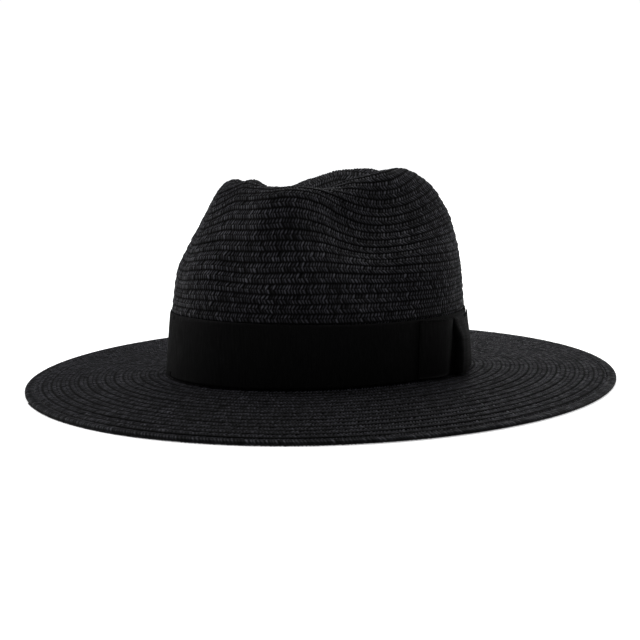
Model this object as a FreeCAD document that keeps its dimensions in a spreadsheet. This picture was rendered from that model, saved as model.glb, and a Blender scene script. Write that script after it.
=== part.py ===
import FreeCAD, Part
import math, os

# A straw sun hat with a teardrop crown, a wide level brim, a ribbed ribbon with a flat bow,
# and an inner sweatband.
# Frame: +Z up, the wearer's face towards -Y, the wearer's left towards +X.
# The origin is the centre of the hat's footprint, on the surface that its brim edge rests on.
# Crown frame: a level oval at the foot of the crown, tipped a little against the brim.

doc = FreeCAD.newDocument("sun_hat")
sheet = doc.addObject("Spreadsheet::Sheet", "Dimensions")
DIMS = [
    ("crown_half_width", 82.0),    # outer half width of the crown at its foot
    ("oval_extra", 19.5),          # how much longer than wide the crown is, each half
    ("base_rise", 5.4),            # foot of the crown above the table
    ("lean_side", 1.65),           # degrees: crown leans to the wearer's right
    ("lean_back", 0.67),           # degrees: crown leans to the back
    ("braid_thick", 1.8),          # sewn braid, two layers at each overlap
    ("brim_width", 91.6),
    ("brim_front_cut", 3.4),       # brim is this much narrower in front and wider behind
    ("edge_row", 6.0),             # width of the doubled last row
    ("edge_thick", 2.6),
    ("wire_half", 0.6),            # half thickness of the brim wire
    ("sleeve_length", 14.0),
    ("tip_half_width", 7.9),
    ("tip_half_length", 27.4),
    ("tip_thick", 2.0),
    ("band_foot", 0.8),
    ("band_width", 38.0),
    ("band_thick", 0.6),
    ("band_gap", 0.35),
    ("sweat_width", 32.0),
    ("sweat_thick", 0.9),
    ("knot_width", 15.0),
    ("knot_depth", 7.4),
    ("knot_wall", 1.2),
    ("bow_height", 36.5),
    ("knot_height", 38.4),
    ("tack_long", 3.0),
    ("tack_wide", 0.8),
]
for i, (name, value) in enumerate(DIMS):
    sheet.set("A%d" % (i + 1), name)
    sheet.set("B%d" % (i + 1), str(value))
    sheet.setAlias("B%d" % (i + 1), name)
doc.recompute()


def dim(name):
    return float(getattr(sheet, name))


A = dim("crown_half_width")
OV = dim("oval_extra")
RISE = dim("base_rise")
TH = dim("braid_thick")
W = dim("brim_width")
EDGE = dim("edge_row")
ET = dim("edge_thick")

# Blocked shape of the crown: one line per even row of braid from the foot to the tip, one
# column per 12 degrees from the face round to the back. CROWN_R is the half width of the
# row's oval, CROWN_Z its height.
ROWS = [0, 2, 4, 6, 8, 10, 12, 14, 16, 18, 20, 22, 24, 26, 28, 30, 31.5]
CROWN_R = [
    [82.0, 82.0, 82.0, 82.0, 82.0, 82.0, 82.0, 82.0, 82.0, 82.0, 82.0, 82.0, 82.0, 82.0, 82.0, 82.0],
    [80.9, 80.9, 80.9, 81.0, 81.1, 81.4, 81.7, 82.1, 82.4, 82.4, 82.3, 81.9, 81.3, 80.7, 80.3, 80.1],
    [79.8, 79.8, 79.8, 79.9, 80.2, 80.7, 81.4, 82.2, 82.7, 82.9, 82.5, 81.7, 80.6, 79.4, 78.6, 78.3],
    [78.8, 78.7, 78.7, 78.9, 79.3, 80.1, 81.1, 82.2, 83.1, 83.3, 82.8, 81.6, 79.9, 78.1, 76.9, 76.4],
    [77.0, 77.2, 77.7, 78.4, 79.0, 79.6, 80.5, 81.6, 82.8, 83.6, 83.4, 82.0, 79.6, 76.8, 74.7, 73.9],
    [74.3, 75.2, 75.9, 76.2, 78.7, 80.6, 78.1, 75.8, 79.1, 83.9, 85.0, 82.6, 78.7, 74.4, 71.4, 70.5],
    [72.0, 72.9, 72.3, 71.4, 74.0, 76.6, 73.6, 70.5, 74.5, 81.6, 84.2, 82.0, 77.9, 73.1, 69.8, 68.8],
    [67.9, 67.6, 66.6, 67.1, 70.3, 71.7, 67.3, 63.6, 67.7, 76.0, 80.7, 79.8, 76.4, 72.3, 68.7, 67.2],
    [62.8, 61.6, 60.3, 63.0, 67.7, 67.4, 60.7, 55.9, 59.8, 68.7, 74.6, 75.7, 73.8, 70.7, 67.0, 65.3],
    [57.5, 55.9, 54.3, 58.2, 64.5, 63.8, 55.5, 49.6, 52.6, 60.8, 67.3, 70.0, 70.0, 67.6, 63.9, 62.2],
    [53.2, 50.8, 48.8, 52.6, 58.7, 58.5, 52.0, 46.5, 47.4, 53.5, 59.9, 63.5, 64.2, 62.3, 58.7, 56.7],
    [49.0, 45.8, 43.0, 46.6, 50.8, 49.4, 45.9, 43.7, 43.7, 47.3, 52.6, 56.0, 56.6, 54.8, 51.0, 48.7],
    [42.3, 38.7, 35.7, 39.0, 42.3, 39.7, 35.9, 35.2, 37.6, 42.0, 46.1, 46.9, 45.7, 44.4, 40.8, 38.6],
    [33.6, 30.0, 26.9, 30.2, 33.3, 30.4, 26.0, 24.6, 27.2, 32.3, 35.7, 35.2, 33.6, 32.5, 29.5, 27.3],
    [21.1, 19.5, 17.9, 19.5, 20.8, 19.3, 17.0, 16.0, 16.8, 18.9, 20.6, 20.5, 19.9, 19.6, 18.4, 17.4],
    [8.2, 8.2, 8.2, 8.2, 8.2, 8.2, 8.2, 8.2, 8.2, 8.2, 8.2, 8.2, 8.2, 8.2, 8.2, 8.2],
    [0.0, 0.0, 0.0, 0.0, 0.0, 0.0, 0.0, 0.0, 0.0, 0.0, 0.0, 0.0, 0.0, 0.0, 0.0, 0.0],
]
CROWN_Z = [
    [0.0, 0.0, 0.0, 0.0, 0.0, 0.0, 0.0, 0.0, 0.0, 0.0, 0.0, 0.0, 0.0, 0.0, 0.0, 0.0],
    [11.5, 11.5, 11.4, 11.3, 11.2, 11.1, 11.0, 11.0, 10.9, 11.0, 11.0, 11.0, 11.1, 11.1, 11.2, 11.2],
    [23.0, 23.0, 22.8, 22.7, 22.4, 22.2, 22.1, 21.9, 21.9, 21.9, 22.0, 22.1, 22.2, 22.3, 22.3, 22.4],
    [34.5, 34.5, 34.3, 34.0, 33.7, 33.4, 33.1, 32.9, 32.8, 32.9, 33.0, 33.1, 33.3, 33.4, 33.5, 33.5],
    [45.9, 45.9, 45.7, 45.4, 45.0, 44.5, 44.1, 43.8, 43.7, 43.8, 44.0, 44.2, 44.4, 44.6, 44.6, 44.6],
    [56.1, 57.0, 57.9, 57.3, 56.4, 56.1, 55.5, 54.6, 54.3, 54.5, 54.8, 55.5, 55.9, 55.8, 55.4, 55.3],
    [67.3, 68.7, 69.7, 68.5, 68.0, 68.4, 67.8, 66.2, 65.2, 65.4, 65.2, 65.5, 66.3, 66.3, 65.9, 65.7],
    [78.0, 79.7, 81.2, 80.6, 80.5, 80.8, 79.6, 76.0, 73.6, 74.6, 75.4, 75.7, 76.7, 76.9, 76.6, 76.4],
    [88.1, 90.3, 92.9, 93.0, 93.2, 93.5, 90.5, 84.3, 80.7, 81.7, 84.5, 86.3, 87.6, 87.6, 87.3, 87.1],
    [97.5, 100.4, 104.6, 105.0, 105.6, 106.3, 101.9, 94.5, 89.4, 89.0, 92.2, 96.2, 98.5, 98.5, 97.9, 97.7],
    [106.4, 109.6, 114.3, 114.5, 115.1, 116.3, 113.1, 105.8, 99.7, 97.9, 100.6, 105.4, 108.8, 109.1, 108.2, 107.8],
    [114.1, 117.1, 120.6, 119.5, 117.8, 118.4, 117.3, 114.6, 110.7, 108.0, 109.7, 114.5, 118.6, 118.8, 117.0, 116.1],
    [118.3, 120.8, 122.9, 120.2, 116.4, 115.4, 116.4, 117.3, 119.4, 119.0, 120.2, 124.0, 126.7, 125.0, 122.3, 121.1],
    [117.3, 118.9, 119.5, 116.7, 113.0, 111.9, 114.2, 117.5, 121.2, 124.5, 127.4, 128.1, 127.8, 125.2, 122.6, 121.6],
    [112.4, 112.8, 112.7, 111.2, 109.1, 108.6, 110.0, 112.4, 114.6, 116.7, 118.4, 118.5, 117.8, 116.6, 115.4, 115.0],
    [106.5, 106.5, 106.5, 106.5, 106.5, 106.5, 106.5, 106.5, 106.5, 106.5, 106.5, 106.5, 106.5, 106.5, 106.5, 106.5],
    [105.0, 105.0, 105.0, 105.0, 105.0, 105.0, 105.0, 105.0, 105.0, 105.0, 105.0, 105.0, 105.0, 105.0, 105.0, 105.0],
]

COLS = 30


def natural(xs, ys):
    # second derivatives of a natural cubic spline
    n = len(xs)
    y2, u = [0.0] * n, [0.0] * n
    for i in range(1, n - 1):
        sig = (xs[i] - xs[i - 1]) / (xs[i + 1] - xs[i - 1])
        p = sig * y2[i - 1] + 2.0
        y2[i] = (sig - 1.0) / p
        d = (ys[i + 1] - ys[i]) / (xs[i + 1] - xs[i]) - (ys[i] - ys[i - 1]) / (xs[i] - xs[i - 1])
        u[i] = (6.0 * d / (xs[i + 1] - xs[i - 1]) - sig * u[i - 1]) / p
    for k in range(n - 2, -1, -1):
        y2[k] = y2[k] * y2[k + 1] + u[k]
    return y2


def spline(xs, ys, y2, x):
    lo, hi = 0, len(xs) - 1
    while hi - lo > 1:
        k = (hi + lo) // 2
        if xs[k] > x:
            hi = k
        else:
            lo = k
    d = xs[hi] - xs[lo]
    a, b = (xs[hi] - x) / d, (x - xs[lo]) / d
    return a * ys[lo] + b * ys[hi] + ((a ** 3 - a) * y2[lo] + (b ** 3 - b) * y2[hi]) * d * d / 6.0


SPL = []
for c in range(16):
    rr = [row[c] * A / 82.0 for row in CROWN_R]
    zz = [row[c] for row in CROWN_Z]
    SPL.append((rr, natural(ROWS, rr), zz, natural(ROWS, zz)))


def crown_rz(u, deg):
    # smooth round the oval from the four nearest columns
    f = (deg % 360.0) / 12.0
    k = int(math.floor(f))
    w = f - k
    r, z = [], []
    for j in (k - 1, k, k + 1, k + 2):
        c = j % COLS
        c = c if c <= 15 else COLS - c
        s = SPL[c]
        r.append(spline(ROWS, s[0], s[1], u))
        z.append(spline(ROWS, s[2], s[3], u))

    def cat(p):
        return 0.5 * (2 * p[1] + (p[2] - p[0]) * w + (2 * p[0] - 5 * p[1] + 4 * p[2] - p[3]) * w * w
                      + (3 * p[1] - p[0] - 3 * p[2] + p[3]) * w ** 3)
    return cat(r), cat(z)


LS, LB = math.radians(dim("lean_side")), math.radians(dim("lean_back"))
TILT = FreeCAD.Rotation(FreeCAD.Vector(0, 1, 0), -dim("lean_side")).multiply(
    FreeCAD.Rotation(FreeCAD.Vector(1, 0, 0), -dim("lean_back")))
CROWN_PLACE = FreeCAD.Placement(FreeCAD.Vector(0, 0, RISE), TILT)
V = FreeCAD.Vector


def oval(r, deg, z):
    t = math.radians(deg)
    return V(r * math.sin(t), -(r + OV) * math.cos(t), z)


def crown_point(u, deg, out=0.0):
    # a point on the crown, or that far outside it along the surface normal
    r, z = crown_rz(u, deg)
    p = oval(r, deg, z)
    if out == 0.0:
        return p
    ua, ub = max(u - 0.35, 0.0), min(u + 0.35, 31.0)
    ra, za = crown_rz(ua, deg)
    rb, zb = crown_rz(ub, deg)
    du = oval(rb, deg, zb) - oval(ra, deg, za)
    r1, z1 = crown_rz(u, deg - 2.0)
    r2, z2 = crown_rz(u, deg + 2.0)
    dt = oval(r2, deg + 2.0, z2) - oval(r1, deg - 2.0, z1)
    n = dt.cross(du)
    n.normalize()
    return p + n * out


def skin(grid):
    # grid[row][column], columns once round, first column repeated at the end
    s = Part.BSplineSurface()
    s.interpolate([row + [row[0]] for row in grid])
    return s.toShape()


def end_edge(face, point):
    # the closed border edge of a skin nearest to a point
    best = None
    for e in face.Edges:
        d = e.distToShape(Part.Vertex(point))[0]
        closed = (e.Vertexes[0].Point - e.Vertexes[-1].Point).Length < 1e-4
        if closed and (best is None or d < best[0]):
            best = (d, e)
    return best[1]


def solid_from(faces):
    sh = Part.makeShell(faces)
    sh.sewShape()
    so = Part.makeSolid(sh)
    if so.Volume < 0:
        so.reverse()
    return so


def ring(outer, inner):
    # a closed ring between two skins, with the borders joined by narrow faces
    fo, fi = skin(outer), skin(inner)
    faces = [fo, fi]
    for k in (0, -1):
        eo, ei = end_edge(fo, outer[k][3]), end_edge(fi, inner[k][3])
        faces.append(Part.makeRuledSurface(eo, ei))
    return solid_from(faces)


def add(label, shape, place=None):
    o = doc.addObject("Part::Feature", label)
    o.Label = label
    o.Shape = shape
    o.Placement = place if place is not None else FreeCAD.Placement()
    return o


DEG = [i * 12.0 for i in range(COLS)]
FINE = [i * 7.5 for i in range(48)]
PARTS = []

# ---- crown: the blocked shell of sewn braid, from its foot to the hole that the tip closes.
# The side rows and the top rows are one spiral in the real hat, and meet face to face here.
def crown_shell(us):
    outer = [[crown_point(u, d) for d in FINE] for u in us]
    inner = [[crown_point(u, d, -TH) for d in FINE] for u in us]
    if us[0] == 0:
        for d in range(48):
            q = inner[0][d]
            inner[0][d] = V(q.x, q.y, 0.0)
    return ring(outer, inner)


PARTS.append(add("crown_side_rows", crown_shell([0, 1, 2, 4, 6, 8, 10, 12, 13, 14, 15]), CROWN_PLACE))
PARTS.append(add("crown_top_rows", crown_shell([15 + i for i in range(16)]), CROWN_PLACE))


# ---- brim: flares from the foot of the crown out to a level edge
def brim_reach(deg):
    return W - dim("brim_front_cut") * math.cos(math.radians(deg))


def foot_height(x, y):
    n = TILT.multVec(V(0, 0, 1))
    return RISE - (n.x * x + n.y * y) / n.z


def brim_top(r, deg):
    reach = brim_reach(deg)
    s = min(max((r - A) / reach, 0.0), 1.0)
    p = oval(r, deg, 0.0)
    q = oval(A, deg, 0.0)
    zb = foot_height(q.x, q.y) if r > A else foot_height(p.x, p.y)
    g = s * s * (1.9 - 0.9 * s) if s < 1 else 1.0
    return V(p.x, p.y, zb * (1 - g) + ET * g)


def brim_rows(a, b, n, down):
    rows = []
    for i in range(n + 1):
        f = i / float(n)
        row = []
        for d in FINE:
            lo = (A - TH) if a is None else A + brim_reach(d) - a
            r = lo + (A + brim_reach(d) - b - lo) * f
            p = brim_top(r, d)
            row.append(V(p.x, p.y, p.z - down))
        rows.append(row)
    return rows


PARTS.append(add("brim_braid", ring(brim_rows(None, EDGE + 0.05, 12, 0.0),
                                    brim_rows(None, EDGE + 0.05, 12, TH))))


def flat_ring(profile):
    # a ring whose section is a polygon of (distance in from the brim edge, height)
    edges = []
    for a, z in profile:
        pts = [oval(A + brim_reach(d) - a, d, z) for d in FINE]
        c = Part.BSplineCurve()
        c.interpolate(pts, PeriodicFlag=True)
        edges.append(c.toShape())
    faces = []
    n = len(edges)
    for i in range(n):
        za, zb = profile[i][1], profile[(i + 1) % n][1]
        if abs(za - zb) < 1e-6:
            big, small = edges[i], edges[(i + 1) % n]
            if profile[i][0] > profile[(i + 1) % n][0]:
                big, small = small, big
            f = Part.Face([Part.Wire([big]), Part.Wire([small])])
            f.validate()
            faces.append(f)
        else:
            faces.append(Part.makeRuledSurface(edges[i], edges[(i + 1) % n]))
    return solid_from(faces)


# last row, folded over the wire: a level ring that the hat rests on
wh = dim("wire_half")
mid = ET / 2.0
edge_solid = flat_ring([(0.0, 0.7), (0.7, 0.0), (EDGE - 0.5, 0.0), (EDGE, 0.5), (EDGE, ET - 0.3),
                        (EDGE - 0.3, ET), (0.7, ET), (0.0, ET - 0.7)])
k = wh * 0.4142
hole = [(2.4 - wh - 0.05, mid - k), (2.4 - k, mid - wh - 0.05), (2.4 + k, mid - wh - 0.05),
        (2.4 + wh + 0.05, mid - k), (2.4 + wh + 0.05, mid + k), (2.4 + k, mid + wh + 0.05),
        (2.4 - k, mid + wh + 0.05), (2.4 - wh - 0.05, mid + k)]
wire = [(2.4 - wh, mid - k), (2.4 - k, mid - wh), (2.4 + k, mid - wh), (2.4 + wh, mid - k),
        (2.4 + wh, mid + k), (2.4 + k, mid + wh), (2.4 - k, mid + wh), (2.4 - wh, mid + k)]
EDGE_ROW = add("brim_edge_row", edge_solid.cut(flat_ring(hole)))
PARTS.append(EDGE_ROW)
PARTS.append(add("brim_wire", flat_ring(wire)))

# crimped sleeve where the two ends of the wire meet, at the back
back = oval(A + brim_reach(180.0) - 2.4, 180.0, mid)
bore = flat_ring(hole)


def sleeve_block(extra):
    w, l = 2.0 + extra, dim("sleeve_length") + extra
    return Part.makeBox(l, w, w, V(-l / 2.0, back.y - w / 2.0, mid - w / 2.0))


EDGE_ROW.Shape = EDGE_ROW.Shape.cut(sleeve_block(0.1))
PARTS.append(add("wire_sleeve", sleeve_block(0.0).cut(bore)))

# ---- tip: the first oval coil of the spiral, a small plate that closes the crown
plate = doc.addObject("Part::Ellipse", "tip_outline")
plate.setExpression("MajorRadius", "<<Dimensions>>.tip_half_length")
plate.setExpression("MinorRadius", "<<Dimensions>>.tip_half_width")
tip = doc.addObject("Part::Extrusion", "crown_tip_coil")
tip.Base = plate
tip.DirMode = "Normal"
tip.Solid = True
tip.setExpression("LengthFwd", "<<Dimensions>>.tip_thick")
tip.Label = "crown_tip_coil"
doc.recompute()
tip_z = crown_rz(30.0, 0.0)[1] - dim("tip_thick") + 0.15
tip.Placement = CROWN_PLACE.multiply(FreeCAD.Placement(V(0, 0, tip_z), FreeCAD.Rotation(V(0, 0, 1), 90)))
PARTS.append(tip)


# ---- ribbon pieces that follow the wall of the crown
def wall(u_lo, u_hi, n, degs, out):
    return [[crown_point(u_lo + (u_hi - u_lo) * i / float(n), d, out) for d in degs] for i in range(n + 1)]


PER_ROW = crown_rz(6.0, 90.0)[1] / 6.0
u_foot = dim("band_foot") / PER_ROW
u_top = u_foot + dim("band_width") / PER_ROW
g0 = dim("band_gap")
g1 = g0 + dim("band_thick")
PARTS.append(add("hat_band", ring(wall(u_foot, u_top, 6, FINE, g1), wall(u_foot, u_top, 6, FINE, g0)),
                 CROWN_PLACE))


def patch(outer, inner):
    # a curved plate between two open skins
    def face(grid):
        s = Part.BSplineSurface()
        s.interpolate(grid)
        return s.toShape()
    fo, fi = face(outer), face(inner)
    faces = [fo, fi]
    corners = [(0, 0, 0, -1), (-1, 0, -1, -1), (0, 0, -1, 0), (0, -1, -1, -1)]
    for a, b, c, d in corners:
        def pick(f, g):
            p, q = g[a][b], g[c][d]
            for e in f.Edges:
                v = [w.Point for w in e.Vertexes]
                if ((v[0] - p).Length < 1e-3 and (v[-1] - q).Length < 1e-3) or \
                        ((v[0] - q).Length < 1e-3 and (v[-1] - p).Length < 1e-3):
                    return e
        faces.append(Part.makeRuledSurface(pick(fo, outer), pick(fi, inner)))
    return solid_from(faces)


BOW = 128.0          # where the knot sits, degrees round the oval from the face
tab = [BOW - 13.0 + i * 26.0 / 8 for i in range(9)]
PARTS.append(add("band_end", patch(wall(u_foot + 0.05, u_top - 0.05, 6, tab, g1 + 0.65),
                                   wall(u_foot + 0.05, u_top - 0.05, 6, tab, g1 + 0.08)), CROWN_PLACE))

# ---- sweatband, folded up inside the foot of the crown, with a lapped joint at the back
s0 = -(TH + 0.35)
s1 = s0 - dim("sweat_thick")
v_top = dim("sweat_width") / PER_ROW
PARTS.append(add("sweatband", ring(wall(0.05, v_top, 6, FINE, s0), wall(0.05, v_top, 6, FINE, s1)),
                 CROWN_PLACE))
lap = [173.0 + i * 14.0 / 6 for i in range(7)]
PARTS.append(add("sweatband_lap", patch(wall(0.15, v_top - 0.1, 5, lap, s1 - 0.1),
                                        wall(0.15, v_top - 0.1, 5, lap, s1 - 0.7)), CROWN_PLACE))


# ---- stitches: short round-ended bars lying on a surface
def frame_at(u, deg, out):
    p = crown_point(u, deg, out)
    n = crown_point(u, deg, out + 1.0) - p
    n.normalize()
    a = crown_point(u, deg + 0.5, out) - crown_point(u, deg - 0.5, out)
    a.normalize()
    b = n.cross(a)
    m = FreeCAD.Matrix(a.x, b.x, n.x, p.x, a.y, b.y, n.y, p.y, a.z, b.z, n.z, p.z, 0, 0, 0, 1)
    return FreeCAD.Placement(m)


def bar(u, deg, out, long, wide, thick, turn=0.0):
    w = min(wide / 2.0, long / 2.0 - 0.01)
    x = long / 2.0 - w
    lines = [Part.LineSegment(V(-x, -w, 0), V(x, -w, 0)).toShape(),
             Part.Arc(V(x, -w, 0), V(x + w, 0, 0), V(x, w, 0)).toShape(),
             Part.LineSegment(V(x, w, 0), V(-x, w, 0)).toShape(),
             Part.Arc(V(-x, w, 0), V(-x - w, 0, 0), V(-x, -w, 0)).toShape()]
    s = Part.Face(Part.Wire(lines)).extrude(V(0, 0, thick))
    s.Placement = frame_at(u, deg, out).multiply(
        FreeCAD.Placement(V(0, 0, 0), FreeCAD.Rotation(V(0, 0, 1), turn)))
    return s


sew = [bar(0.35, i * 7.5 + 3.0, s1 - 0.45, 3.4, 0.7, 0.4) for i in range(48) if abs(i * 7.5 + 3.0 - 180) > 9]
PARTS.append(add("sweatband_stitches", Part.makeCompound(sew), CROWN_PLACE))
tl, tw = dim("tack_long"), dim("tack_wide")
tacks = [bar(u, d, g1 + 0.05, tl, tw, 0.45, 90.0) for d in (0.0, 60.0, 240.0, 300.0) for u in (u_foot + 0.5, u_top - 0.4)]
PARTS.append(add("band_tacks", Part.makeCompound(tacks), CROWN_PLACE))


# ---- bow: two ribbon loops that run into a knot wrapped round them, upright on the wall
def plan(s, n):
    # s along the wall from the knot (towards the face is positive), n out from the crown
    deg = BOW - math.degrees(s / 97.0)
    for _ in range(6):
        arc = 0.0
        steps = 12
        last = crown_point(3.5, BOW, 0.0)
        for i in range(1, steps + 1):
            p = crown_point(3.5, BOW + (deg - BOW) * i / steps, 0.0)
            arc += (p - last).Length
            last = p
        arc = arc if s >= 0 else -arc
        deg = deg - math.degrees((s - arc) / 97.0)
    p = crown_point(3.5, deg, n)
    return V(p.x, p.y, 0.0)


def loop(side, reach):
    # plan of the ribbon's centre line as (s, n): out along the wall and back over itself
    outer = [(2.5, 4.1), (7.5, 4.5), (12.0, 5.6), (18.0, 6.4), (26.0, 6.2), (reach - 4.0, 5.3),
             (reach - 1.0, 4.3), (reach, 3.0), (reach - 1.2, 2.0), (reach - 5.0, 1.85), (22.0, 1.95),
             (12.0, 2.1), (6.0, 2.2), (2.5, 2.3)]
    inner = [(2.5, 3.4), (7.5, 3.8), (12.0, 4.9), (18.0, 5.7), (26.0, 5.5), (reach - 4.4, 4.6),
             (reach - 1.6, 3.7), (reach - 0.8, 3.0), (reach - 1.7, 2.65), (reach - 5.0, 2.5), (22.0, 2.6),
             (12.0, 2.75), (6.0, 2.85), (2.5, 2.95)]

    def curve(pts):
        c = Part.BSplineCurve()
        c.interpolate([plan(side * s, n) for s, n in pts])
        return c.toShape()
    a, b = curve(outer), curve(inner)
    e1 = Part.LineSegment(plan(side * 2.5, 4.1), plan(side * 2.5, 3.4)).toShape()
    e2 = Part.LineSegment(plan(side * 2.5, 2.3), plan(side * 2.5, 2.95)).toShape()
    w = Part.Wire(Part.__sortEdges__([a, e1, b, e2]))
    f = Part.Face(w)
    f.validate()
    s = f.extrude(V(0, 0, dim("bow_height")))
    s.translate(V(0, 0, dim("band_foot") + 0.75 + 0.4))
    return s


PARTS.append(add("bow_front_loop", loop(1.0, 38.0), CROWN_PLACE))
PARTS.append(add("bow_rear_loop", loop(-1.0, 36.0), CROWN_PLACE))

# knot: a strap round the two loops, open towards the wall
kb = doc.addObject("PartDesign::Body", "bow_knot")
kb.Label = "bow_knot"
sk = kb.newObject("Sketcher::SketchObject", "knot_side")
side_plane = [f for f in kb.Origin.OriginFeatures if f.Role == "XZ_Plane"][0]
sk.AttachmentSupport = [(side_plane, "")]
sk.MapMode = "FlatFace"
kd, kh, kw = dim("knot_depth"), dim("knot_height"), dim("knot_wall")
import Sketcher
pts = [(0, 0), (kd, 0), (kd, kh), (0, kh), (0, kh - kw), (kd - kw, kh - kw), (kd - kw, kw), (0, kw)]
for i in range(8):
    a, b = pts[i], pts[(i + 1) % 8]
    sk.addGeometry(Part.LineSegment(V(a[0], a[1], 0), V(b[0], b[1], 0)), False)
for i in range(8):
    sk.addConstraint(Sketcher.Constraint("Coincident", i, 2, (i + 1) % 8, 1))
for i in (0, 2, 4, 6):
    sk.addConstraint(Sketcher.Constraint("Horizontal", i))
for i in (1, 3, 5, 7):
    sk.addConstraint(Sketcher.Constraint("Vertical", i))
sk.addConstraint(Sketcher.Constraint("Coincident", 0, 1, -1, 1))
for name, geo, val in (("depth", 0, kd), ("height", 1, kh)):
    c = sk.addConstraint(Sketcher.Constraint("Distance", geo, val))
    sk.setExpression("Constraints[%d]" % c, "<<Dimensions>>.knot_%s" % name)
c = sk.addConstraint(Sketcher.Constraint("Distance", 7, kw))
sk.setExpression("Constraints[%d]" % c, "<<Dimensions>>.knot_wall")
c = sk.addConstraint(Sketcher.Constraint("Distance", 3, kw))
sk.setExpression("Constraints[%d]" % c, "<<Dimensions>>.knot_wall")
c = sk.addConstraint(Sketcher.Constraint("Distance", 4, kd - kw))
sk.setExpression("Constraints[%d]" % c, "<<Dimensions>>.knot_depth - <<Dimensions>>.knot_wall")
pad = kb.newObject("PartDesign::Pad", "knot_pad")
pad.Profile = sk
pad.Midplane = True
pad.setExpression("Length", "<<Dimensions>>.knot_width")
doc.recompute()
outer_edges = []
for i, e in enumerate(pad.Shape.Edges):
    b = e.BoundBox
    if abs(b.XMin - kd) < 1e-4 and abs(b.XMax - kd) < 1e-4:
        outer_edges.append("Edge%d" % (i + 1))
fil = kb.newObject("PartDesign::Fillet", "knot_round")
fil.Base = (pad, outer_edges)
fil.Radius = 1.1
doc.recompute()
n = frame_at(0.4, BOW, g1 + 0.8).Rotation.multVec(V(0, 0, 1))
n.z = 0.0
n.normalize()
along = V(0, 0, 1).cross(n)
base = plan(0.0, g1 + 0.75)
m = FreeCAD.Matrix(n.x, along.x, 0, base.x, n.y, along.y, 0, base.y, 0, 0, 1, 0, 0, 0, 0, 1)
kb.Placement = CROWN_PLACE.multiply(FreeCAD.Placement(m)).multiply(
    FreeCAD.Placement(V(0, 0, dim("band_foot") - 0.3), FreeCAD.Rotation()))
PARTS.append(kb)

# the stitches that hold the bow, one pair through each loop close to its fold
bt = []
for s in (34.0, -32.0):
    q = plan(s, g1 + 0.1)
    d = math.degrees(math.atan2(q.x / A, -q.y / (A + OV)))
    for u in (u_foot + 0.9, u_top - 0.9):
        bt.append(bar(u, d, g1 + 0.1, 2.2, 0.6, 0.5, 90.0))
PARTS.append(add("bow_tacks", Part.makeCompound(bt), CROWN_PLACE))

# the origin stands at the middle of the footprint
for o in PARTS:
    p = o.Placement
    o.Placement = FreeCAD.Placement(p.Base + V(0, -dim("brim_front_cut"), 0), p.Rotation)

doc.recompute()
os.makedirs("parts", exist_ok=True)
for o in PARTS:
    bad = [s for s in o.State if s in ("Invalid", "Error")]
    if bad or o.Shape.isNull() or not o.Shape.isValid() or o.Shape.Volume <= 0:
        raise RuntimeError("bad shape: %s %s" % (o.Label, bad))
    o.Shape.exportStep("parts/%s.step" % o.Label)
    b = o.Shape.BoundBox
    print("%-18s vol %9.1f  x %7.1f %7.1f  y %7.1f %7.1f  z %6.2f %6.2f  solids %d closed %s" % (
        o.Label, o.Shape.Volume, b.XMin, b.XMax, b.YMin, b.YMax, b.ZMin, b.ZMax,
        len(o.Shape.Solids), all(s.isClosed() for s in o.Shape.Shells)))
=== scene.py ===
import math
import bpy
import numpy as np
from mathutils import Matrix, Vector


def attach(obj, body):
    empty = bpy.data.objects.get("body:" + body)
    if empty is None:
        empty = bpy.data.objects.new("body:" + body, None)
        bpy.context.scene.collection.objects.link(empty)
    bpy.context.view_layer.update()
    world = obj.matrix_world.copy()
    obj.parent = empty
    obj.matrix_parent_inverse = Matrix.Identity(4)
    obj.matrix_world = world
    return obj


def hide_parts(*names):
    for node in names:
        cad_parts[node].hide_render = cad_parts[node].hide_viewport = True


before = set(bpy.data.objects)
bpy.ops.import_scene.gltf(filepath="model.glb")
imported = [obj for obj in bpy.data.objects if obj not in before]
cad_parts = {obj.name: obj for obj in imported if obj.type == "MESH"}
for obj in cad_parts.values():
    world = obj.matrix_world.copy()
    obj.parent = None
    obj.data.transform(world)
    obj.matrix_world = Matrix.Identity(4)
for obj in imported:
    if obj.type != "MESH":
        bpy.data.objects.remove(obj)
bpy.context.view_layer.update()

rng = np.random.default_rng(465)

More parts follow.
